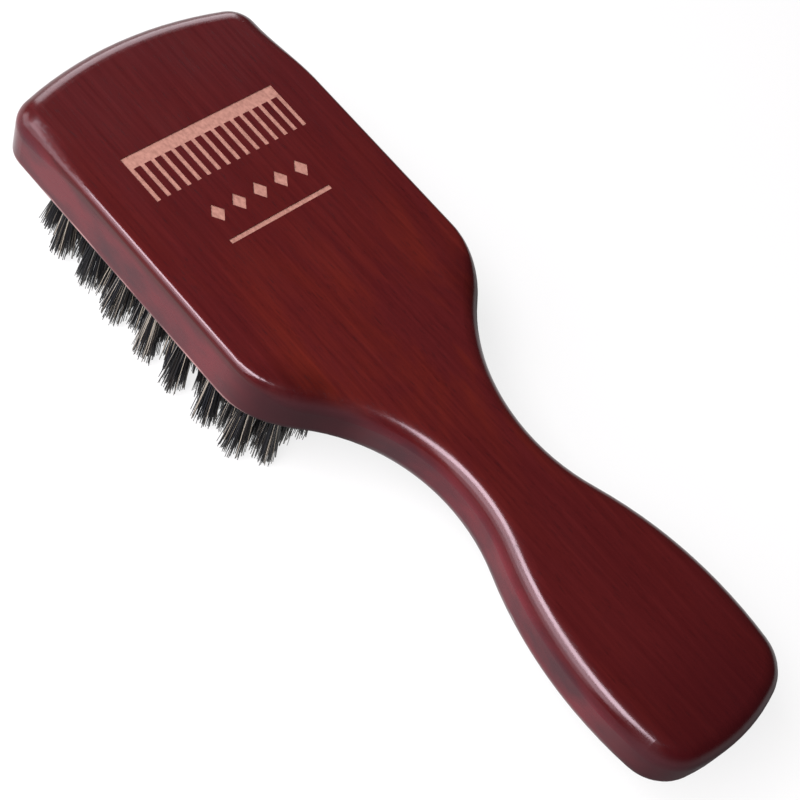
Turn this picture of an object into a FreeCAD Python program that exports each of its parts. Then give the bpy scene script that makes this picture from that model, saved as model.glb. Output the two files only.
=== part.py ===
import FreeCAD, Part
import math
import os
import Sketcher
from FreeCAD import Vector

# Fade brush: a one-piece hardwood board with a waisted paddle handle and a
# field of bristle tufts, each folded over a flat wire anchor in a blind hole.
#
# Frame: millimetres, +Z up, bristles down. X runs along the brush, from the
# head's far end (-X) to the end of the handle (+X). The origin is below the
# middle of the brush, on the plane that the bristle tips stand on.

SHEET_ROWS = [
    # alias, value, note
    ("brushLength", 190.0, "far end of the head to end of the handle"),
    ("boardThickness", 13.3, "flat back to flat underside"),
    ("bristleLength", 17.0, "underside of the board to the bristle tips"),
    ("headWidth", 61.7, "across the parallel sides of the head"),
    ("farArcRadius", 90.0, "shallow arc of the head's far end, in plan"),
    ("headCornerRadius", 7.0, "corner between far end and side, in plan"),
    ("shoulderRadius", 22.0, "convex shoulder, in plan"),
    ("neckStation", 26.0, "X of the narrowest place of the neck"),
    ("neckWidth", 20.5, "narrowest width of the neck"),
    ("neckRadius", 39.5, "concave side of the neck, in plan"),
    ("handleStation", 73.5, "X of the widest place of the handle"),
    ("handleWidth", 39.4, "widest width of the handle"),
    ("handleCornerRadius", 10.2, "corner of the handle's end, in plan"),
    ("handleArcRadius", 42.0, "shallow arc of the handle's end, in plan"),
    ("farEdgeRadius", 5.0, "round-over of the back's edge at the far end"),
    ("sideEdgeRadius", 1.6, "round-over of the back's edge beside the head"),
    ("edgeBlendLength", 20.0, "stretch of the head's side over which the round-over narrows"),
    ("gripEdgeRadius", 4.3, "round-over of the back's edge from neck to handle end"),
    ("underHeadRadius", 0.8, "eased edge of the underside around the head"),
    ("underGripRadius", 3.8, "round-over of the underside from neck to handle end"),
    ("tuftDiameter", 3.0, "drilled hole, and the tuft packed in it"),
    ("tuftTipDiameter", 4.8, "spread of a tuft at its tips"),
    ("tuftTipEase", 0.6, "rounding of the trimmed tips at the rim of a tuft"),
    ("holeDepth", 7.0, "depth of a blind tuft hole"),
    ("rowPitch", 4.7, "along the head, from one row of tufts to the next"),
    ("tuftPitch", 5.2, "across the head, from tuft to tuft in one row"),
    ("firstRowInset", 9.3, "far end of the head to the first row"),
    ("anchorWidth", 4.0, "flat wire anchor, across the hole"),
    ("anchorThickness", 0.35, "flat wire anchor, along the head"),
    ("anchorHeight", 1.8, "flat wire anchor, up the hole"),
    ("foldHeight", 1.2, "bristle folded over the anchor, above it"),
    ("markDepth", 0.25, "engraving of the comb ornament in the back"),
    ("markInset", 27.0, "far end of the head to the spine of the comb"),
    ("combLength", 40.0, "engraved comb, across the head"),
    ("combSpine", 3.2, "engraved comb, width of its spine"),
    ("combTooth", 8.8, "engraved comb, length of its teeth"),
    ("combToothWidth", 1.0, "engraved comb, width of one tooth"),
    ("lozengeInset", 45.0, "far end of the head to the row of lozenges"),
    ("lozengeLength", 4.6, "one lozenge, along the head"),
    ("lozengeWidth", 3.4, "one lozenge, across the head"),
    ("lozengePitch", 5.6, "lozenge to lozenge"),
    ("barInset", 53.6, "far end of the head to the engraved bar"),
    ("barLength", 27.0, "engraved bar, across the head"),
    ("barWidth", 1.1, "engraved bar, along the head"),
]
COMB_TEETH = 16
LOZENGES = 5

# The tuft field, row by row from the far end: how many tufts each row has.
# Full rows take turns with 10 and 11, so neighbouring rows are staggered, and
# the first rows are shorter, because the field is rounded at the far end.
TUFTS_IN_ROW = [4, 7] + [10, 11] * 7 + [10]

# Underside of the anchors, which hold the bristles' fold against the hole's end.
ANCHOR_BASE = "Sheet.bristleLength + Sheet.holeDepth - Sheet.foldHeight - Sheet.anchorHeight"

# Slack, in millimetres, for comparing places along the outline, for telling a
# level edge from a standing one, and for probing the board beside an edge.
JOIN_SLACK = 1.0
LEVEL_SLACK = 0.01
PROBE_REACH = 0.1
PROBE_SLACK = 0.001

# The least volume, in cubic millimetres, that a cut must remove.
LEAST_CUT = 0.01

doc = FreeCAD.newDocument("fade_brush")
sheet = doc.addObject("Spreadsheet::Sheet", "Sheet")
for row, (alias, value, note) in enumerate(SHEET_ROWS, start=1):
    sheet.set(f"A{row}", alias)
    sheet.set(f"B{row}", str(value))
    sheet.setAlias(f"B{row}", alias)
    sheet.set(f"C{row}", note)
doc.recompute()


def dim(alias):
    """The value of one cell of the sheet."""
    return float(sheet.get(alias))


def origin_plane(body, role):
    """One of a body's own origin planes or axes."""
    return next(item for item in body.Origin.OriginFeatures if item.Role == role)


def new_body(label):
    body = doc.addObject("PartDesign::Body", label)
    body.Label = label
    return body


def new_sketch(body, name, role, lift=None):
    """A sketch on an origin plane of its own body, lifted along the plane's normal."""
    sketch = body.newObject("Sketcher::SketchObject", name)
    sketch.AttachmentSupport = [(origin_plane(body, role), "")]
    sketch.MapMode = "FlatFace"
    if lift:
        sketch.setExpression("AttachmentOffset.Base.z", lift)
    return sketch


def bind(sketch, name, constraint, formula):
    """Add one dimension to a sketch and bind it to the sheet."""
    index = sketch.addConstraint(constraint)
    sketch.renameConstraint(index, name)
    sketch.setExpression(f"Constraints.{name}", formula)


def arc(centre, radius, start, end):
    """Counter-clockwise arc between two angles in radians."""
    circle = Part.Circle(Vector(*centre, 0), Vector(0, 0, 1), radius)
    return Part.ArcOfCircle(circle, start, end)


def angle_of(centre, point):
    return math.atan2(point[1] - centre[1], point[0] - centre[0])


# --- the outline of the board ------------------------------------------------

START, END, MIDDLE = 1, 2, 3
X_AXIS = -1
ORIGIN = (-1, 1)


def outline_circles():
    """Centres and radii of the half outline's arcs, from the driving dimensions.

    Every arc meets the next one in a tangent: the far arc, the head's corner,
    (the straight side), the shoulder, the neck, the handle, its corner and
    the arc of its end.
    """
    half_length = dim("brushLength") / 2
    half_head = dim("headWidth") / 2
    far = ((-half_length + dim("farArcRadius"), 0), dim("farArcRadius"))
    corner_radius = dim("headCornerRadius")
    corner_y = half_head - corner_radius
    reach = math.sqrt((far[1] - corner_radius) ** 2 - corner_y ** 2)
    corner = ((far[0][0] - reach, corner_y), corner_radius)

    neck_radius = dim("neckRadius")
    neck = ((dim("neckStation"), dim("neckWidth") / 2 + neck_radius), neck_radius)
    shoulder_radius = dim("shoulderRadius")
    shoulder_y = half_head - shoulder_radius
    reach = math.sqrt((shoulder_radius + neck_radius) ** 2 - (neck[0][1] - shoulder_y) ** 2)
    shoulder = ((neck[0][0] - reach, shoulder_y), shoulder_radius)

    run = dim("handleStation") - dim("neckStation")
    rise = (dim("handleWidth") - dim("neckWidth")) / 2
    handle_radius = (run ** 2 + rise ** 2) / (2 * rise) - neck_radius
    handle = ((dim("handleStation"), dim("handleWidth") / 2 - handle_radius), handle_radius)

    end = ((half_length - dim("handleArcRadius"), 0), dim("handleArcRadius"))
    grip_radius = dim("handleCornerRadius")
    span = math.dist(handle[0], end[0])
    to_handle = handle_radius - grip_radius
    to_end = end[1] - grip_radius
    along = (to_handle ** 2 - to_end ** 2 + span ** 2) / (2 * span)
    aside = math.sqrt(to_handle ** 2 - along ** 2)
    unit = ((end[0][0] - handle[0][0]) / span, (end[0][1] - handle[0][1]) / span)
    grip = (
        (
            handle[0][0] + along * unit[0] + aside * unit[1],
            handle[0][1] + along * unit[1] - aside * unit[0],
        ),
        grip_radius,
    )
    return far, corner, shoulder, neck, handle, grip, end


def draw_outline(sketch):
    """Half of the board's outline, on the +Y side, closed along the X axis."""
    far, corner, shoulder, neck, handle, grip, end = outline_circles()
    quarter = math.pi / 2
    far_turn = angle_of(far[0], corner[0])
    neck_turn = angle_of(neck[0], shoulder[0])
    handle_turn = angle_of(neck[0], handle[0])
    grip_turn = angle_of(handle[0], grip[0])
    end_turn = angle_of(end[0], grip[0])
    half_length = dim("brushLength") / 2
    half_head = dim("headWidth") / 2

    far_arc = sketch.addGeometry(arc(*far, far_turn, math.pi))
    corner_arc = sketch.addGeometry(arc(*corner, quarter, far_turn))
    blend_length = dim("edgeBlendLength")
    corner_end = Vector(corner[0][0], half_head, 0)
    side_start = corner_end + Vector(blend_length, 0, 0)
    shoulder_end = Vector(shoulder[0][0], half_head, 0)
    blend = sketch.addGeometry(Part.LineSegment(corner_end, side_start))
    side = sketch.addGeometry(Part.LineSegment(side_start, shoulder_end))
    shoulder_arc = sketch.addGeometry(arc(*shoulder, neck_turn + math.pi, quarter))
    neck_arc = sketch.addGeometry(arc(*neck, neck_turn, handle_turn))
    handle_arc = sketch.addGeometry(arc(*handle, grip_turn, handle_turn + math.pi))
    grip_arc = sketch.addGeometry(arc(*grip, end_turn, grip_turn))
    end_arc = sketch.addGeometry(arc(*end, 0, end_turn))
    axis = sketch.addGeometry(
        Part.LineSegment(Vector(half_length, 0, 0), Vector(-half_length, 0, 0))
    )

    joins = [
        (far_arc, START, corner_arc, END),
        (corner_arc, START, blend, START),
        (side, END, shoulder_arc, END),
        (shoulder_arc, START, neck_arc, START),
        (neck_arc, END, handle_arc, END),
        (handle_arc, START, grip_arc, END),
        (grip_arc, START, end_arc, END),
    ]
    for first, first_end, second, second_end in joins:
        sketch.addConstraint(
            Sketcher.Constraint("Tangent", first, first_end, second, second_end)
        )
    sketch.addConstraint(Sketcher.Constraint("Coincident", blend, END, side, START))
    sketch.addConstraint(Sketcher.Constraint("Coincident", end_arc, START, axis, START))
    sketch.addConstraint(Sketcher.Constraint("Coincident", axis, END, far_arc, END))
    for item, place in ((far_arc, MIDDLE), (end_arc, MIDDLE), (axis, START), (axis, END)):
        sketch.addConstraint(Sketcher.Constraint("PointOnObject", item, place, X_AXIS))
    for line in (blend, side):
        sketch.addConstraint(Sketcher.Constraint("Horizontal", line))

    def radius(name, item, circle, formula):
        bind(sketch, name, Sketcher.Constraint("Radius", item, circle[1]), formula)

    radius("far_radius", far_arc, far, "Sheet.farArcRadius")
    radius("corner_radius", corner_arc, corner, "Sheet.headCornerRadius")
    radius("shoulder_radius", shoulder_arc, shoulder, "Sheet.shoulderRadius")
    radius("neck_radius", neck_arc, neck, "Sheet.neckRadius")
    radius("grip_radius", grip_arc, grip, "Sheet.handleCornerRadius")
    radius("end_radius", end_arc, end, "Sheet.handleArcRadius")

    length = Sketcher.Constraint("Distance", blend, blend_length)
    bind(sketch, "blend_length", length, "Sheet.edgeBlendLength")

    def across(name, item, place, value, formula):
        constraint = Sketcher.Constraint("DistanceY", *ORIGIN, item, place, value)
        bind(sketch, name, constraint, formula)

    def station(name, item, place, value, formula):
        constraint = Sketcher.Constraint("DistanceX", *ORIGIN, item, place, value)
        bind(sketch, name, constraint, formula)

    across("half_head", side, START, half_head, "Sheet.headWidth / 2")
    across("neck_centre", neck_arc, MIDDLE, neck[0][1], "Sheet.neckWidth / 2 + Sheet.neckRadius")
    station("half_length", end_arc, START, half_length, "Sheet.brushLength / 2")
    station("far_half_length", far_arc, END, -half_length, "-Sheet.brushLength / 2")
    station("neck_station", neck_arc, MIDDLE, neck[0][0], "Sheet.neckStation")
    station("handle_station", handle_arc, MIDDLE, handle[0][0], "Sheet.handleStation")
    # The widest place lies above the arc's centre, so the centre's height is the
    # half width less the radius that the tangent to the neck leaves.
    rise = "((Sheet.handleWidth - Sheet.neckWidth) / 2)"
    run = "(Sheet.handleStation - Sheet.neckStation)"
    handle_radius = f"(({run} ^ 2 + {rise} ^ 2) / (2 * {rise}) - Sheet.neckRadius)"
    across(
        "handle_centre",
        handle_arc,
        MIDDLE,
        handle[0][1],
        f"Sheet.handleWidth / 2 - {handle_radius}",
    )


# --- the board ---------------------------------------------------------------


def board_blank():
    """The sawn board: the outline, padded to its thickness and mirrored.

    It isn't refined, so the joins of the outline stay where edge radii change.
    """
    body = new_body("board_blank")
    sketch = new_sketch(body, "HalfOutline", "XY_Plane", "Sheet.bristleLength")
    draw_outline(sketch)
    doc.recompute()
    pad = body.newObject("PartDesign::Pad", "HalfBoard")
    pad.Profile = sketch
    pad.setExpression("Length", "Sheet.boardThickness")
    pad.Refine = False
    doc.recompute()
    mirrored = body.newObject("PartDesign::Mirrored", "WholeBoard")
    mirrored.Originals = [pad]
    mirrored.MirrorPlane = (origin_plane(body, "XZ_Plane"), [""])
    mirrored.Refine = False
    body.Tip = mirrored
    doc.recompute()
    return body


def edge_radius(point, on_back):
    """Round-over radius at one join of the outline, on the back or the underside.

    It changes along the first stretch of the head's sides and along the
    shoulders, and stays the same along every other stretch.
    """
    _, corner, shoulder, *_ = outline_circles()
    if point.x > shoulder[0][0] + JOIN_SLACK:
        return dim("gripEdgeRadius" if on_back else "underGripRadius")
    if not on_back:
        return dim("underHeadRadius")
    beside_head = point.x > corner[0][0] + JOIN_SLACK
    return dim("sideEdgeRadius" if beside_head else "farEdgeRadius")


def runs_counter_clockwise(edge, board):
    """Whether an outline edge's own direction keeps the board on its left."""
    middle = (edge.FirstParameter + edge.LastParameter) / 2
    point = edge.valueAt(middle)
    tangent = edge.tangentAt(middle)
    point.z = dim("bristleLength") + dim("boardThickness") / 2
    to_right = Vector(tangent.y, -tangent.x, 0) * PROBE_REACH
    return not board.isInside(point + to_right, PROBE_SLACK, True)


def rounded_board(blank):
    """The board with its sanded edges, whose radius changes along the outline.

    A fillet takes its two radii in the direction of the whole loop of edges,
    which is the direction of the loop's first edge.
    """
    board = blank.Shape
    middle_height = dim("bristleLength") + dim("boardThickness") / 2
    loop_direction = {}
    edges = []
    for number, edge in enumerate(board.Edges, start=1):
        first = edge.valueAt(edge.FirstParameter)
        last = edge.valueAt(edge.LastParameter)
        standing = abs(first.z - last.z) > LEVEL_SLACK
        along_middle = abs(first.y) < LEVEL_SLACK and abs(last.y) < LEVEL_SLACK
        if standing or along_middle:
            continue
        on_back = first.z > middle_height
        direction = runs_counter_clockwise(edge, board)
        if loop_direction.setdefault(on_back, direction) != direction:
            first, last = last, first
        radii = [edge_radius(point, on_back) for point in (first, last)]
        edges.append((number, *radii))
    fillet = doc.addObject("Part::Fillet", "RoundedBoard")
    fillet.Base = blank
    fillet.Edges = edges
    doc.recompute()
    return fillet


# --- the tuft field ----------------------------------------------------------


def row_station(row):
    """Formula for the X of one row of tufts."""
    return f"-Sheet.brushLength / 2 + Sheet.firstRowInset + {row} * Sheet.rowPitch"


def outer_tuft(tufts):
    """Formula for the Y of the first tuft of a row, on the -Y side."""
    return f"-{tufts - 1} * Sheet.tuftPitch / 2"


def field_blocks():
    """Rows that are alike and evenly spaced, as (first row, rows, step, tufts)."""
    full_rows = range(2, len(TUFTS_IN_ROW))
    short = [(row, 1, 1, TUFTS_IN_ROW[row]) for row in range(2)]
    even = [row for row in full_rows if row % 2 == 0]
    odd = [row for row in full_rows if row % 2 == 1]
    return short + [(rows[0], len(rows), 2, TUFTS_IN_ROW[rows[0]]) for rows in (even, odd)]


def spaced(body, name, direction):
    """An even spacing along one axis: (axis role, pitch formula, number of places)."""
    role, pitch, places = direction
    lines = body.newObject("PartDesign::LinearPattern", name)
    lines.Direction = (origin_plane(body, role), [""])
    lines.Mode = "Spacing"
    lines.setExpression("Offset", pitch)
    lines.Occurrences = places
    return lines


def pattern(body, name, features, direction):
    """Repeat features evenly along one of the body's axes."""
    lines = spaced(body, name, direction)
    lines.Originals = features
    body.Tip = lines
    doc.recompute()


def grid(body, name, feature, along, across):
    """Repeat a feature over a grid: along one axis, then across along another."""
    field = body.newObject("PartDesign::MultiTransform", name)
    field.Originals = [feature]
    field.Transformations = [
        spaced(body, f"{name}Along", along),
        spaced(body, f"{name}Across", across),
    ]
    body.Tip = field
    doc.recompute()


def draw_circle(sketch, diameter, x, y):
    """A circle bound to formulas for its diameter and its centre."""
    values = [sketch.evalExpression(formula) for formula in (diameter, x, y)]
    size, centre_x, centre_y = [float(value) for value in values]
    centre = Vector(centre_x, centre_y, 0)
    circle = sketch.addGeometry(Part.Circle(centre, Vector(0, 0, 1), size / 2))
    bind(sketch, "diameter", Sketcher.Constraint("Diameter", circle, size), diameter)
    for name, axis, value, formula in (
        ("centre_x", "DistanceX", centre_x, x),
        ("centre_y", "DistanceY", centre_y, y),
    ):
        bind(sketch, name, Sketcher.Constraint(axis, *ORIGIN, circle, MIDDLE, value), formula)


def draw_polygon(sketch, corners):
    """A closed outline of straight sides. Each corner is bound to two formulas."""
    places = [[float(sketch.evalExpression(formula)) for formula in pair] for pair in corners]
    points = [Vector(x, y, 0) for x, y in places]
    sides = [
        sketch.addGeometry(Part.LineSegment(start, end))
        for start, end in zip(points, points[1:] + points[:1])
    ]
    for side, following in zip(sides, sides[1:] + sides[:1]):
        sketch.addConstraint(Sketcher.Constraint("Coincident", side, END, following, START))
    for side, pair, place in zip(sides, corners, places):
        for axis, formula, value in zip("XY", pair, place):
            distance = Sketcher.Constraint(f"Distance{axis}", *ORIGIN, side, START, value)
            bind(sketch, f"corner{side}_{axis}", distance, formula)
    doc.recompute()


def rectangle(low_x, low_y, length, width):
    """Corner formulas of a rectangle, from its low corner."""
    high_x = f"{low_x} + {length}"
    high_y = f"{low_y} + {width}"
    return [(low_x, low_y), (high_x, low_y), (high_x, high_y), (low_x, high_y)]


def anchor_outline(x, y):
    """Plan of one flat anchor, centred on a tuft at the given formulas."""
    low_x = f"{x} - Sheet.anchorThickness / 2"
    low_y = f"{y} - Sheet.anchorWidth / 2"
    return rectangle(low_x, low_y, "Sheet.anchorThickness", "Sheet.anchorWidth")


def pocket(body, name, sketch, depth, reversed_=False):
    """Cut a sketch into the body's solid, and check that it removed something."""
    before = body.Shape.Volume
    cut = body.newObject("PartDesign::Pocket", name)
    cut.Profile = sketch
    cut.setExpression("Length", depth)
    cut.Reversed = reversed_
    doc.recompute()
    if not cut.Shape.Volume < before - LEAST_CUT:
        raise RuntimeError(f"{name} cuts nothing")
    return cut


def drill_field(body):
    """Blind tuft holes, and the slit beside each hole that its anchor bites into."""
    for index, (first_row, rows, step, tufts) in enumerate(field_blocks(), start=1):
        x = row_station(first_row)
        y = outer_tuft(tufts)
        along = ("X_Axis", f"{step} * Sheet.rowPitch", rows)
        across = ("Y_Axis", "Sheet.tuftPitch", tufts)

        sketch = new_sketch(body, f"HolePlan{index}", "XY_Plane", "Sheet.bristleLength")
        draw_circle(sketch, "Sheet.tuftDiameter", x, y)
        doc.recompute()
        hole = pocket(body, f"TuftHole{index}", sketch, "Sheet.holeDepth", reversed_=True)
        grid(body, f"TuftHoles{index}", hole, along, across)

        sketch = new_sketch(body, f"SlitPlan{index}", "XY_Plane", ANCHOR_BASE)
        draw_polygon(sketch, anchor_outline(x, y))
        slit = pocket(body, f"AnchorSlit{index}", sketch, "Sheet.anchorHeight", reversed_=True)
        grid(body, f"AnchorSlits{index}", slit, along, across)


# --- the engraved ornament ---------------------------------------------------


def cut_mark(body, name, corners):
    """Cut one outline of the ornament shallowly into the flat back."""
    back = "Sheet.bristleLength + Sheet.boardThickness"
    sketch = new_sketch(body, f"{name}Plan", "XY_Plane", back)
    draw_polygon(sketch, corners)
    return pocket(body, name, sketch, "Sheet.markDepth")


def engrave(body):
    """A comb with its teeth towards the handle, a row of lozenges and a bar."""
    far_end = "-Sheet.brushLength / 2"
    spine_x = f"{far_end} + Sheet.markInset"
    cut_mark(
        body,
        "CombSpine",
        rectangle(spine_x, "-Sheet.combLength / 2", "Sheet.combSpine", "Sheet.combLength"),
    )
    tooth = rectangle(
        f"{spine_x} + Sheet.combSpine / 2",
        "-Sheet.combLength / 2",
        "Sheet.combSpine / 2 + Sheet.combTooth",
        "Sheet.combToothWidth",
    )
    pitch = f"(Sheet.combLength - Sheet.combToothWidth) / {COMB_TEETH - 1}"
    teeth = cut_mark(body, "CombTooth", tooth)
    pattern(body, "CombTeeth", [teeth], ("Y_Axis", pitch, COMB_TEETH))

    start = f"{far_end} + Sheet.lozengeInset"
    middle_x = f"{start} + Sheet.lozengeLength / 2"
    middle_y = f"-{LOZENGES - 1} * Sheet.lozengePitch / 2"
    lozenge = [
        (start, middle_y),
        (middle_x, f"{middle_y} - Sheet.lozengeWidth / 2"),
        (f"{start} + Sheet.lozengeLength", middle_y),
        (middle_x, f"{middle_y} + Sheet.lozengeWidth / 2"),
    ]
    lozenges = cut_mark(body, "Lozenge", lozenge)
    pattern(body, "Lozenges", [lozenges], ("Y_Axis", "Sheet.lozengePitch", LOZENGES))

    bar_x = f"{far_end} + Sheet.barInset"
    bar = rectangle(bar_x, "-Sheet.barLength / 2", "Sheet.barWidth", "Sheet.barLength")
    cut_mark(body, "Bar", bar)


def wood_body():
    """The finished board: rounded, drilled for the tufts and engraved."""
    rounded = rounded_board(board_blank())
    body = new_body("wood_body")
    body.BaseFeature = rounded
    doc.recompute()
    drill_field(body)
    engrave(body)
    return body


# --- tufts and anchors -------------------------------------------------------


def place_row(body, row):
    """Put a row, drawn at X = 0, at its station."""
    body.setExpression("Placement.Base.x", row_station(row))


def tuft_row(row, tufts):
    """One row of tufts. A tuft is packed in its hole, and spreads towards its tips.

    It is one closed solid of the tuft's outer shape, slotted where the anchor
    holds the bristles' fold.
    """
    body = new_body(f"tuft_row_{row + 1:02d}")
    centre = outer_tuft(tufts)
    rim = f"{centre} + Sheet.tuftTipDiameter / 2"
    wall = f"{centre} + Sheet.tuftDiameter / 2"
    fold = "Sheet.bristleLength + Sheet.holeDepth"
    half_tuft = [
        (centre, "0"),
        (f"{rim} - Sheet.tuftTipEase", "0"),
        (rim, "Sheet.tuftTipEase"),
        (wall, "Sheet.bristleLength"),
        (wall, fold),
        (centre, fold),
    ]
    sketch = new_sketch(body, "HalfTuft", "YZ_Plane")
    draw_polygon(sketch, half_tuft)
    tuft = body.newObject("PartDesign::Revolution", "Tuft")
    tuft.Profile = sketch
    tuft.ReferenceAxis = (sketch, [f"Edge{len(half_tuft)}"])
    doc.recompute()

    plan = new_sketch(body, "AnchorPlan", "XY_Plane", ANCHOR_BASE)
    draw_polygon(plan, anchor_outline("0", centre))
    slot = pocket(body, "AnchorSlot", plan, "Sheet.anchorHeight", reversed_=True)
    pattern(body, "Tufts", [tuft, slot], ("Y_Axis", "Sheet.tuftPitch", tufts))
    place_row(body, row)
    return body


def anchor_row(row, tufts):
    """The flat wire anchors of one row, one in each hole, set across the board."""
    body = new_body(f"anchor_row_{row + 1:02d}")
    sketch = new_sketch(body, "AnchorPlan", "XY_Plane", ANCHOR_BASE)
    draw_polygon(sketch, anchor_outline("0", outer_tuft(tufts)))
    anchor = body.newObject("PartDesign::Pad", "Anchor")
    anchor.Profile = sketch
    anchor.setExpression("Length", "Sheet.anchorHeight")
    doc.recompute()
    pattern(body, "Anchors", [anchor], ("Y_Axis", "Sheet.tuftPitch", tufts))
    place_row(body, row)
    return body


# --- build, check and write --------------------------------------------------


def check(sub_parts):
    """Stop if any object failed, or a sub-part lacks a solid that it should have."""
    doc.recompute()
    for item in doc.Objects:
        if "Invalid" in item.State or "Error" in item.State:
            raise RuntimeError(f"{item.Label} failed: {item.State}")
    for part, solids in sub_parts:
        if part.Shape.isNull() or not part.Shape.isValid():
            raise RuntimeError(f"{part.Label} has no valid shape")
        if len(part.Shape.Solids) != solids:
            raise RuntimeError(f"{part.Label} has {len(part.Shape.Solids)} solids, not {solids}")


sub_parts = [(wood_body(), 1)]
for row, tufts in enumerate(TUFTS_IN_ROW):
    sub_parts.append((tuft_row(row, tufts), tufts))
    sub_parts.append((anchor_row(row, tufts), tufts))
check(sub_parts)

os.makedirs("parts", exist_ok=True)
for part, solids in sub_parts:
    part.Shape.exportStep(f"parts/{part.Label}.step")
    print(f"{part.Label}: {solids} solids, {part.Shape.Volume:.1f} mm3")
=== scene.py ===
import math
import random

import bmesh
import bpy
from mathutils import Matrix, Vector


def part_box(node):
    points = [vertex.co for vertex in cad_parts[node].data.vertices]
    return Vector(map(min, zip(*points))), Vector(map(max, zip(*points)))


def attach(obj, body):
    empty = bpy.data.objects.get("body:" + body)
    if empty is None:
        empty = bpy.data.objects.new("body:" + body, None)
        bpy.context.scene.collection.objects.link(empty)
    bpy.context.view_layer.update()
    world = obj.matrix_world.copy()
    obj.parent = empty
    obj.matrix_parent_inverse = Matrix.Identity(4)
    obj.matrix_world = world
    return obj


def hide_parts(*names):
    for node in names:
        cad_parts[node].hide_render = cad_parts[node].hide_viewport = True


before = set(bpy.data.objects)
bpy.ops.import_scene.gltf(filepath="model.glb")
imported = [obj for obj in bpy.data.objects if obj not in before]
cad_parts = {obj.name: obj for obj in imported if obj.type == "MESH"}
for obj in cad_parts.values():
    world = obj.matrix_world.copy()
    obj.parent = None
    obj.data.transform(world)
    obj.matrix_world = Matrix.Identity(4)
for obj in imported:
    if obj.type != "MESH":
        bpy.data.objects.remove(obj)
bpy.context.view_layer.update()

MM = 0.001
random.seed(41)

# --- camera ------------------------------------------------------------------

CAMERA_PLACE = Vector((75.28, -175.86, 291.38)) * MM
CAMERA_RIGHT = Vector((0.65631, 0.69695, 0.28899))
CAMERA_UP = Vector((-0.72275, 0.47082, 0.50593))
CAMERA_BACK = Vector((0.21655, -0.54092, 0.81272))

camera_data = bpy.data.cameras.new("camera")
camera_data.sensor_width = 36.0
camera_data.lens = 74.03
camera_data.shift_x = -0.032
camera_data.shift_y = -0.019
camera_data.clip_start = 0.01
camera_data.clip_end = 20.0
camera = bpy.data.objects.new("camera", camera_data)
turn = Matrix((CAMERA_RIGHT, CAMERA_UP, CAMERA_BACK)).transposed()
camera.matrix_world = Matrix.Translation(CAMERA_PLACE) @ turn.to_4x4()
bpy.context.scene.collection.objects.link(camera)
bpy.context.scene.camera = camera

# --- studio ------------------------------------------------------------------

bpy.context.scene.view_settings.view_transform = "Standard"


LILAC_WHITE = (1.0, 0.955, 0.985)
WORLD_STRENGTH = 0.05

# Each softbox: its name, its place, the point it faces, its width, its height and its power.
SOFTBOXES = [
    ("front_high", (-0.12, -0.42, 0.70), (0.02, 0, 0.03), 0.66, 0.28, 27.0),
    ("front_middle", (-0.22, -0.65, 0.50), (0.02, 0, 0.03), 0.70, 0.30, 9.5),
    ("front_low", (-0.30, -0.75, 0.24), (0.02, 0, 0.03), 0.66, 0.30, 3.0),
    ("left_low", (-0.75, -0.50, 0.22), (-0.02, 0, 0.03), 0.5, 0.4, 4.0),
    ("far_side", (-0.84, 0.48, 0.32), (-0.06, 0, 0.03), 0.6, 0.50, 7.5),
]


def area_light(name, place, aim, width, height, power):
    """A rectangular softbox, in metres and watts."""
    data = bpy.data.lights.new(name, "AREA")
    data.shape = "RECTANGLE"
    data.size = width
    data.size_y = height
    data.energy = power
    data.color = LILAC_WHITE
    light = bpy.data.objects.new(name, data)
    direction = Vector(aim) - Vector(place)
    light.rotation_euler = direction.to_track_quat("-Z", "Y").to_euler()
    light.location = place
    bpy.context.scene.collection.objects.link(light)


for softbox in SOFTBOXES:
    area_light(*softbox)

world = bpy.data.worlds.new("studio")
world.use_nodes = True
background = world.node_tree.nodes["Background"]
background.inputs["Color"].default_value = (1, 1, 1, 1)
background.inputs["Strength"].default_value = WORLD_STRENGTH
bpy.context.scene.world = world

# --- node helpers ------------------------------------------------------------


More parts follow.
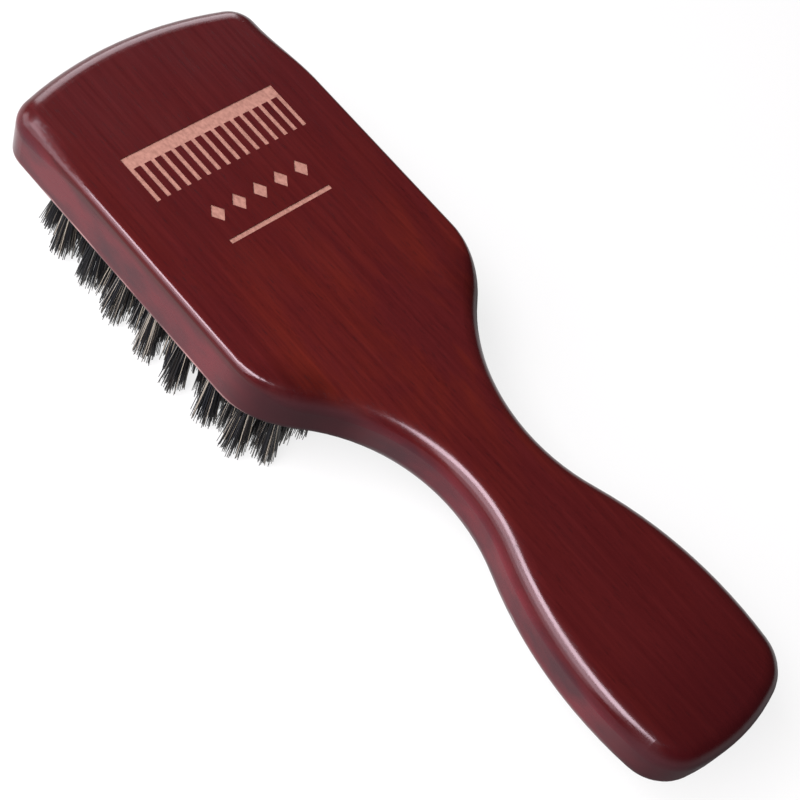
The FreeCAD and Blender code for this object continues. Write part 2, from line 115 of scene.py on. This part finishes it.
class Nodes:
    """Short calls for building one material's node tree."""

    def __init__(self, name):
        self.material = bpy.data.materials.new(name)
        self.material.use_nodes = True
        self.tree = self.material.node_tree
        self.shader = self.tree.nodes["Principled BSDF"]

    def add(self, kind, **settings):
        node = self.tree.nodes.new(kind)
        for key, value in settings.items():
            setattr(node, key, value)
        return node

    def link(self, source, target):
        self.tree.links.new(source, target)

    def feed(self, node, **inputs):
        for key, value in inputs.items():
            socket = node.inputs[int(key[1:])] if key[1:].isdigit() else node.inputs[key]
            if isinstance(value, bpy.types.NodeSocket):
                self.link(value, socket)
            else:
                socket.default_value = value

    def place(self, scale, offset=(0, 0, 0)):
        """Object coordinates, stretched by a scale for each axis."""
        mapping = self.add("ShaderNodeMapping")
        coordinates = self.add("ShaderNodeTexCoord")
        self.link(coordinates.outputs["Object"], mapping.inputs["Vector"])
        mapping.inputs["Scale"].default_value = scale
        mapping.inputs["Location"].default_value = offset
        return mapping.outputs["Vector"]

    def noise(self, vector, detail=3.0, roughness=0.5, distortion=0.0):
        node = self.add("ShaderNodeTexNoise")
        self.feed(node, Vector=vector, Scale=1.0, Detail=detail, Roughness=roughness)
        self.feed(node, Distortion=distortion)
        return node.outputs["Fac"]

    def math(self, operation, first, second=0.0, third=0.0):
        node = self.add("ShaderNodeMath", operation=operation)
        self.feed(node, _0=first, _1=second, _2=third)
        return node.outputs[0]

    def range(self, value, low, high, new_low=0.0, new_high=1.0):
        node = self.add("ShaderNodeMapRange", clamp=True)
        self.feed(node, _0=value, _1=low, _2=high, _3=new_low, _4=new_high)
        return node.outputs[0]

    def mix(self, share, first, second):
        node = self.add("ShaderNodeMix", data_type="RGBA")
        self.feed(node, _0=share, _6=first, _7=second)
        return node.outputs[2]

    def bump(self, height, strength, distance):
        node = self.add("ShaderNodeBump")
        self.feed(node, Height=height, Strength=strength, Distance=distance)
        self.link(node.outputs["Normal"], self.shader.inputs["Normal"])


# --- lacquered wood ----------------------------------------------------------

RED_STAIN = (0.027, 0.0031, 0.0033, 1)
AMBER_STAIN = (0.049, 0.0055, 0.0022, 1)
FAR_END_PAINTED_SHEEN = (0.027, 0.0048, 0.0056, 1)
STREAK_STAIN = (0.011, 0.0009, 0.0012, 1)
FINE_STAIN = (0.012, 0.0009, 0.0011, 1)
PORE_STAIN = (0.006, 0.0005, 0.0007, 1)
HANDLE_STAIN_AND_SHADE = (0.014, 0.0012, 0.0013, 1)
HANDLE_END_PAINTED_SHADE = (0.0085, 0.0008, 0.0013, 1)
PLUM_SIDE_PAINTED_LIGHT = (0.018, 0.0030, 0.0052, 1)
ROSE_SIDE_PAINTED_LIGHT = (0.050, 0.0042, 0.0072, 1)
SHOULDER_PAINTED_SHADE = (0.006, 0.0004, 0.0006, 1)
RIM_PAINTED_SHADE = (0.012, 0.0004, 0.0012, 1)
PALE_EDGE_WOOD = (0.24, 0.14, 0.135, 1)
MARK_LIGHT = (0.145, 0.071, 0.055, 1)
MARK_DARK = (0.098, 0.045, 0.034, 1)

# Where each tone of the stain, the painted sheen and the painted shade starts and where it is
# full, in mm along the brush or up it.
AMBER_MIDDLE = 6
AMBER_FADE = 45
FAR_SHEEN_ALONG = (-45, -95)
HANDLE_ALONG = (0, 90)
HANDLE_END_ALONG = (70, 94)
SIDE_LEVELS = (28.6, 26.5)
RIM_LEVELS = (30.25, 27.5)
HOLLOW_MIDDLE = -5
HOLLOW_ALONG = (19, 6)
SHADE_END_ALONG = (72, 88)
PALE_EDGE_TOP = (18.3, 17.9)
PALE_EDGE_FOOT = (17.02, 17.12)
PALE_EDGE_ALONG = (4, -6)

# The soft painted shade on the back beside each shoulder: its middle and its half-axes, in mm.
SHOULDER_MIDDLE = (3, 26)
SHOULDER_HALF = (17, 8.5)

# The box around the engraved mark, in mm.
MARK_LEVELS = (29.95, 30.22)
MARK_MIDDLE = 54
MARK_HALF_LENGTH = 16
MARK_HALF_WIDTH = 21

# How fully each tone covers what lies below it.
FAR_SHEEN_SHARE = 0.6
STREAK_SHARE = 0.38
FINE_SHARE = 0.2
PORE_SHARE = 0.55
HANDLE_SHARE = 0.35
HANDLE_END_SHARE = 0.6
SIDE_SHARE = 0.85
SHOULDER_SHARE = 0.95
RIM_SHADE_SHARE = 0.88

# How closely each texture repeats, along, across and up the wood.
FIGURE = (22, 60, 60)
STREAKS = (26, 760, 760)
FINE_GRAIN = (80, 2600, 2600)
PORES = (420, 5200, 5200)
CLOUDS = (60, 120, 120)
BLOTCHES = (70, 160, 160)
PALE_EDGE_PATCHES = (90, 90, 90)
BURN = (900, 1400, 1400)
SHEEN = (60, 180, 180)
WAVES = (120, 420, 420)

LACQUER_ROUGHNESS = (0.15, 0.23)
PORE_ROUGHNESS = 0.12
MARK_ROUGHNESS = 0.75
RIM_SHADE_ROUGHNESS = 0.8
RELIEF = 0.05 * MM
WOOD_IOR = 1.5
WOOD_SPECULAR = 0.18
WOOD_TINT = (1.0, 0.84, 0.93, 1)


def ramp(n, value, stretch, *new):
    """A range whose start and end are given in mm."""
    low, high = stretch
    return n.range(value, low * MM, high * MM, *new)


def off_middle(n, value, middle):
    """Distance from a middle given in mm."""
    return n.math("ABSOLUTE", n.math("SUBTRACT", value, middle * MM))


def grain_and_painted_light(n, x, streaks, pore):
    """Red stain with amber figure and dark streaks and pores, a painted sheen towards the far end,
    darker towards the handle partly as a browner stain and partly as painted shade, and painted
    shade at the handle's end.
    """
    figure = n.noise(n.place(FIGURE), detail=4.0, roughness=0.6, distortion=0.6)
    fine = n.noise(n.place(FINE_GRAIN), detail=2.0)
    amber = n.range(off_middle(n, x, AMBER_MIDDLE), 0.0, AMBER_FADE * MM, 0.75, 0.15)
    warm = n.math("MULTIPLY", n.range(figure, 0.44, 0.66), amber)
    colour = n.mix(warm, RED_STAIN, AMBER_STAIN)
    # Painted sheen: a greyer, pinker tone towards the far end stands in for reflected light.
    colour = n.mix(ramp(n, x, FAR_SHEEN_ALONG, 0.0, FAR_SHEEN_SHARE), colour, FAR_END_PAINTED_SHEEN)
    streak = n.range(streaks, 0.36, 0.64)
    colour = n.mix(n.range(streak, 0, 1, STREAK_SHARE, 0.0), colour, STREAK_STAIN)
    colour = n.mix(n.range(fine, 0.3, 0.7, FINE_SHARE, 0.0), colour, FINE_STAIN)
    colour = n.mix(n.math("MULTIPLY", pore, PORE_SHARE), colour, PORE_STAIN)
    # Darker towards the handle: partly a browner stain, partly painted shade.
    colour = n.mix(ramp(n, x, HANDLE_ALONG, 0.0, HANDLE_SHARE), colour, HANDLE_STAIN_AND_SHADE)
    # Painted shade over the handle's end.
    return n.mix(ramp(n, x, HANDLE_END_ALONG, 0.0, HANDLE_END_SHARE), colour, HANDLE_END_PAINTED_SHADE)


def painted_shoulder_shade(n, x, y):
    """How much painted shade lies on the back beside each shoulder, in a blotchy oval."""
    along = n.math("DIVIDE", n.math("SUBTRACT", x, SHOULDER_MIDDLE[0] * MM), SHOULDER_HALF[0] * MM)
    from_middle = n.math("SUBTRACT", n.math("ABSOLUTE", y), SHOULDER_MIDDLE[1] * MM)
    across = n.math("DIVIDE", from_middle, SHOULDER_HALF[1] * MM)
    squares = n.math("MULTIPLY_ADD", along, along, n.math("MULTIPLY", across, across))
    reach = n.math("SQRT", squares)
    blotch = n.noise(n.place(BLOTCHES, (8, 3, 1)), detail=3.0)
    patchy = n.range(blotch, 0.3, 0.7, 0.5, 1.0)
    return n.math("MULTIPLY", n.range(reach, 1.2, 0.5), patchy)


def painted_rim_shade(n, x, z):
    """How much painted shade lies below the rim, in both hollows and at the handle's end."""
    hollow = ramp(n, off_middle(n, x, HOLLOW_MIDDLE), HOLLOW_ALONG)
    handle_end = ramp(n, x, SHADE_END_ALONG)
    rim = ramp(n, z, RIM_LEVELS)
    return n.math("MULTIPLY", n.math("MAXIMUM", hollow, handle_end), rim)


def paler_lower_edge(n, x, z):
    """How much paler the lower edge around the head is, in patches."""
    low_edge = n.math("MULTIPLY", ramp(n, z, PALE_EDGE_TOP), ramp(n, z, PALE_EDGE_FOOT))
    pale_band = n.math("MULTIPLY", low_edge, ramp(n, x, PALE_EDGE_ALONG))
    patches = n.noise(n.place(PALE_EDGE_PATCHES, (2, 9, 4)), detail=5.0)
    return n.math("MULTIPLY", pale_band, n.range(patches, 0.40, 0.62, 0.08, 0.62))


def mark_mask(n, x, y, z):
    """One on the bottom of the engraving, and zero everywhere else."""
    below = n.math("LESS_THAN", z, MARK_LEVELS[1] * MM)
    above = n.math("GREATER_THAN", z, MARK_LEVELS[0] * MM)
    from_middle = n.math("ABSOLUTE", n.math("ADD", x, MARK_MIDDLE * MM))
    inside = n.math("LESS_THAN", from_middle, MARK_HALF_LENGTH * MM)
    across = n.math("LESS_THAN", n.math("ABSOLUTE", y), MARK_HALF_WIDTH * MM)
    inside = n.math("MULTIPLY", inside, across)
    return n.math("MULTIPLY", n.math("MULTIPLY", below, above), inside)


def lacquered_wood():
    """Dark red-brown stain on close-grained hardwood, under a satin-gloss lacquer, with painted
    sheen, light and shade worked into its colour.
    """
    n = Nodes("lacquered_wood")
    axes = n.add("ShaderNodeSeparateXYZ")
    coordinates = n.add("ShaderNodeTexCoord")
    n.link(coordinates.outputs["Object"], axes.inputs[0])
    x, y, z = axes.outputs

    streaks = n.noise(n.place(STREAKS), detail=5.0, roughness=0.65)
    pore = n.range(n.noise(n.place(PORES), detail=1.0), 0.63, 0.72)
    colour = grain_and_painted_light(n, x, streaks, pore)

    # Painted light and reflection: the side walls are painted lighter and pinker, in clouds,
    # standing in for the light and the reflected floor they catch.
    cloud = n.noise(n.place(CLOUDS, (5, 2, 7)), detail=4.0)
    side_painted_light = n.mix(n.range(cloud, 0.38, 0.62), PLUM_SIDE_PAINTED_LIGHT, ROSE_SIDE_PAINTED_LIGHT)
    side = ramp(n, z, SIDE_LEVELS)
    colour = n.mix(n.math("MULTIPLY", side, SIDE_SHARE), colour, side_painted_light)
    # Painted shade on the back beside each shoulder.
    shoulder = painted_shoulder_shade(n, x, y)
    colour = n.mix(n.math("MULTIPLY", shoulder, SHOULDER_SHARE), colour, SHOULDER_PAINTED_SHADE)
    # Painted shade below the rim in both hollows and at the handle's end, where the lacquer is
    # also rougher.
    rim_shade = painted_rim_shade(n, x, z)
    colour = n.mix(n.math("MULTIPLY", rim_shade, RIM_SHADE_SHARE), colour, RIM_PAINTED_SHADE)
    colour = n.mix(paler_lower_edge(n, x, z), colour, PALE_EDGE_WOOD)

    mark = mark_mask(n, x, y, z)
    burn = n.noise(n.place(BURN), detail=3.0)
    colour = n.mix(mark, colour, n.mix(n.range(burn, 0.35, 0.7), MARK_LIGHT, MARK_DARK))
    n.link(colour, n.shader.inputs["Base Color"])

    sheen = n.noise(n.place(SHEEN, (3, 1, 2)), detail=3.0)
    rough = n.range(sheen, 0.3, 0.7, *LACQUER_ROUGHNESS)
    rough = n.math("ADD", rough, n.math("MULTIPLY", pore, PORE_ROUGHNESS))
    rough = n.math("MAXIMUM", rough, n.math("MULTIPLY", mark, MARK_ROUGHNESS))
    rough = n.math("MAXIMUM", rough, n.math("MULTIPLY", rim_shade, RIM_SHADE_ROUGHNESS))
    n.link(rough, n.shader.inputs["Roughness"])
    n.shader.inputs["IOR"].default_value = WOOD_IOR
    n.shader.inputs["Specular IOR Level"].default_value = WOOD_SPECULAR
    n.shader.inputs["Specular Tint"].default_value = WOOD_TINT

    waves = n.noise(n.place(WAVES), detail=2.0)
    height = n.math("MULTIPLY_ADD", waves, 0.5, n.math("MULTIPLY", streaks, 0.35))
    height = n.math("MULTIPLY_ADD", pore, -0.35, height)
    n.bump(height, 0.07, RELIEF)
    return n.material


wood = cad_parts["wood_body"]
wood.material_slots[0].material = lacquered_wood()

# --- wire anchors ------------------------------------------------------------


def drawn_wire():
    """Flat drawn steel wire, with fine lines along its drawing direction."""
    n = Nodes("drawn_wire")
    lines = n.noise(n.place((9000, 300, 9000)), detail=2.0)
    tone = n.mix(n.range(lines, 0.3, 0.7), (0.5, 0.49, 0.47, 1), (0.66, 0.65, 0.63, 1))
    n.link(tone, n.shader.inputs["Base Color"])
    n.shader.inputs["Metallic"].default_value = 1.0
    n.link(n.range(lines, 0.3, 0.7, 0.3, 0.45), n.shader.inputs["Roughness"])
    n.bump(lines, 0.1, 0.01 * MM)
    return n.material


wire = drawn_wire()
for name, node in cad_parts.items():
    if name.startswith("anchor_row"):
        node.material_slots[0].material = wire

# --- bristles ----------------------------------------------------------------

# Each shade's name, its colour and its roughness.
SHADES = [
    ("jet", (0.0020, 0.0020, 0.0026), 0.40),
    ("blue_black", (0.0036, 0.0040, 0.0062), 0.44),
    ("brown_black", (0.0075, 0.0052, 0.0042), 0.48),
    ("grey", (0.070, 0.066, 0.060), 0.5),
    ("cream", (0.145, 0.128, 0.105), 0.5),
]

# Places in SHADES, each as often as it should come up.
DARK_SHADES = (0, 0, 0, 1, 1, 2)
PALE_SHADES = (3, 4, 4)
PALE_SHARES = (0.08, 0.13, 0.18, 0.25, 0.32)


def bristle_material(name, colour, roughness):
    """One shade of bristle: smooth and waxy, with fine rings along it."""
    n = Nodes(f"bristle_{name}")
    n.shader.inputs["Base Color"].default_value = (*colour, 1)
    rings = n.noise(n.place((3000, 3000, 9000)), detail=2.0)
    ringed = n.range(rings, 0.3, 0.7, roughness - 0.06, roughness + 0.1)
    n.link(ringed, n.shader.inputs["Roughness"])
    n.shader.inputs["Specular IOR Level"].default_value = 0.2
    n.bump(rings, 0.2, 0.01 * MM)
    return n.material


SHADE_MATERIALS = [bristle_material(*shade) for shade in SHADES]

# The tufts in each row, from the far end of the head to its shoulders.
TUFT_COUNTS = [4, 7] + [10, 11] * 7 + [10]
TUFTS = {f"tuft_row_{row + 1:02d}": count for row, count in enumerate(TUFT_COUNTS)}

# Levels, in mm: the underside, where bristles leave the wood, and their ends inside the holes.
MOUTH = 17.0
ROOT = 20.8

BRISTLES_IN_TUFT = 140
BUNDLE_RADIUS = 1.36
WIDTHS = (0.2, 0.29)

# One tube: sides around it, stations along it, its taper, and how far it bows in mid-run
# and at its tip.
SIDES = 4
STATIONS = (0.0, 0.12, 0.38, 0.62, 0.82, 1.0)
TAPER = 0.4
BOW_MIDDLE = 2.0
BOW_TIP = 0.35
FACET_TURN = 9000

# How far tips lean, in mm. Along the brush it grows from row to row, and the last rows stand
# straighter. Across the brush it grows towards the sides, less so in the last rows.
LEAN_ALONG = 1.0
LEAN_GAIN = 2.4
LAST_ROWS = 0.5
LAST_ROWS_STRAIGHTER = 6.0
LEAN_ACROSS = 2.3
LEAN_ACROSS_EASE = 0.5
OUTER_TUFT = 26
TUFT_LEAN_SPREAD = (0.8, 0.5)

# How the tips of a tuft fan out, along and across the brush.
FAN = (1.3, 0.8)
SCATTER = 0.3
STRAY_CHANCE = 0.05
STRAY_GAIN = 2.6
BOW_SPREAD = 0.25

# The height of the tips over the ground, in mm.
TIP_HEIGHT = 0.45
TRIM_SPREAD = 0.5
TIP_SPREAD = 0.75
SHORT_CHANCE = 0.06
SHORT_BY = (0.8, 3.0)
LEAST_HEIGHT = 0.05


def tuft_centres(node):
    """Centres of a row's tufts, from the CAD row's box and its even spacing."""
    low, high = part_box(node)
    count = TUFTS[node]
    radius = (high.x - low.x) / 2
    x = (low.x + high.x) / 2
    first = low.y + radius
    step = (high.y - radius - first) / (count - 1)
    return [Vector((x, first + step * place, 0)) for place in range(count)]


def add_bristle(mesh, root, mouth, tip, bow, width, shade):
    """One tapered bristle, from inside its hole to its trimmed tip, as a closed tube."""
    rings = []
    for station in STATIONS:
        if station == 0.0:
            centre = root
        else:
            run = (station - STATIONS[1]) / (1 - STATIONS[1])
            centre = mouth.lerp(tip, run)
            centre += bow * (BOW_MIDDLE * run * (1 - run) + BOW_TIP * run * run)
        radius = width / 2 * (1 - TAPER * station)
        ring = []
        for side in range(SIDES):
            angle = 2 * math.pi * side / SIDES + width * FACET_TURN
            offset = Vector((math.cos(angle), math.sin(angle), 0)) * radius
            ring.append(mesh.verts.new(centre + offset))
        rings.append(ring)
    for upper, lower in zip(rings, rings[1:]):
        for side in range(SIDES):
            following = (side + 1) % SIDES
            corners = (upper[side], lower[side], lower[following], upper[following])
            face = mesh.faces.new(corners)
            face.smooth = True
            face.material_index = shade
    for ring in (rings[0][::-1], rings[-1]):
        mesh.faces.new(ring[::-1]).material_index = shade


def tuft_lean(centre, flare):
    """How far a tuft's tips lean. The flare runs from -1 in the first row to 1 in the last."""
    straighter = LAST_ROWS_STRAIGHTER * max(flare - LAST_ROWS, 0)
    along = LEAN_ALONG + LEAN_GAIN * flare - straighter
    sideways = LEAN_ACROSS * (1 - LEAN_ACROSS_EASE * max(flare, 0) ** 2)
    lean = Vector((along, centre.y / MM / OUTER_TUFT * sideways, 0)) * MM
    uneven = [random.gauss(0, spread) for spread in TUFT_LEAN_SPREAD]
    return lean + Vector((*uneven, 0)) * MM


def add_tuft(mesh, centre, flare):
    """One tuft of bristles, fanned out and trimmed unevenly."""
    lean = tuft_lean(centre, flare)
    pale_share = random.choice(PALE_SHARES)
    trim = random.gauss(0, TRIM_SPREAD)
    for _ in range(BRISTLES_IN_TUFT):
        reach = BUNDLE_RADIUS * math.sqrt(random.random()) * MM
        angle = random.uniform(0, 2 * math.pi)
        spot = Vector((math.cos(angle), math.sin(angle), 0)) * reach
        mouth = centre + spot + Vector((0, 0, MOUTH * MM))
        root = mouth.copy()
        root.z = ROOT * MM
        stray = STRAY_GAIN if random.random() < STRAY_CHANCE else 1.0
        scatter = Vector((random.gauss(0, SCATTER), random.gauss(0, SCATTER), 0)) * MM * stray
        height = TIP_HEIGHT + trim * 0.5 + abs(random.gauss(0, TIP_SPREAD))
        if random.random() < SHORT_CHANCE:
            height += random.uniform(*SHORT_BY)
        height = max(height, LEAST_HEIGHT)
        share = 1 - height / MOUTH
        fan = Vector((spot.x * (1 + FAN[0] * share), spot.y * (1 + FAN[1] * share), 0))
        tip = centre + fan + (lean + scatter) * share
        tip.z = height * MM
        bow = Vector((random.gauss(0, BOW_SPREAD), random.gauss(0, BOW_SPREAD), 0)) * MM
        shades = PALE_SHADES if random.random() < pale_share else DARK_SHADES
        shade = random.choice(shades)
        width = random.uniform(*WIDTHS) * MM
        add_bristle(mesh, root, mouth, tip, bow, width, shade)


def bristle_row(index, node):
    """All the bristles of one row of tufts, as one mesh."""
    mesh = bmesh.new()
    flare = 2 * index / (len(TUFTS) - 1) - 1
    for centre in tuft_centres(node):
        add_tuft(mesh, centre, flare)
    name = node.replace("tuft", "bristle")
    data = bpy.data.meshes.new(name)
    mesh.to_mesh(data)
    mesh.free()
    for material in SHADE_MATERIALS:
        data.materials.append(material)
    row = bpy.data.objects.new(name, data)
    bpy.context.scene.collection.objects.link(row)
    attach(row, "root")
    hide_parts(node)


for index, node in enumerate(sorted(TUFTS)):
    bristle_row(index, node)

# --- floor -------------------------------------------------------------------

FLOOR_HALF = 12.0
FLOOR_LEVEL = -0.1 * MM
FLOOR_GREY = (0.06, 0.06, 0.06, 1)
FLOOR_GLOW = 0.8


def floor_material():
    """A light table: a matt sheet that glows an even white."""
    n = Nodes("pale_floor")
    n.shader.inputs["Base Color"].default_value = FLOOR_GREY
    n.shader.inputs["Roughness"].default_value = 0.8
    n.shader.inputs["Specular IOR Level"].default_value = 0.1
    n.shader.inputs["Emission Color"].default_value = (1, 1, 1, 1)
    n.shader.inputs["Emission Strength"].default_value = FLOOR_GLOW
    return n.material


floor_data = bpy.data.meshes.new("floor")
corners = [(x, y, FLOOR_LEVEL) for x, y in (
    (-FLOOR_HALF, -FLOOR_HALF),
    (FLOOR_HALF, -FLOOR_HALF),
    (FLOOR_HALF, FLOOR_HALF),
    (-FLOOR_HALF, FLOOR_HALF),
)]
floor_data.from_pydata(corners, [], [(0, 1, 2, 3)])
floor_data.materials.append(floor_material())
floor = bpy.data.objects.new("floor", floor_data)
bpy.context.scene.collection.objects.link(floor)
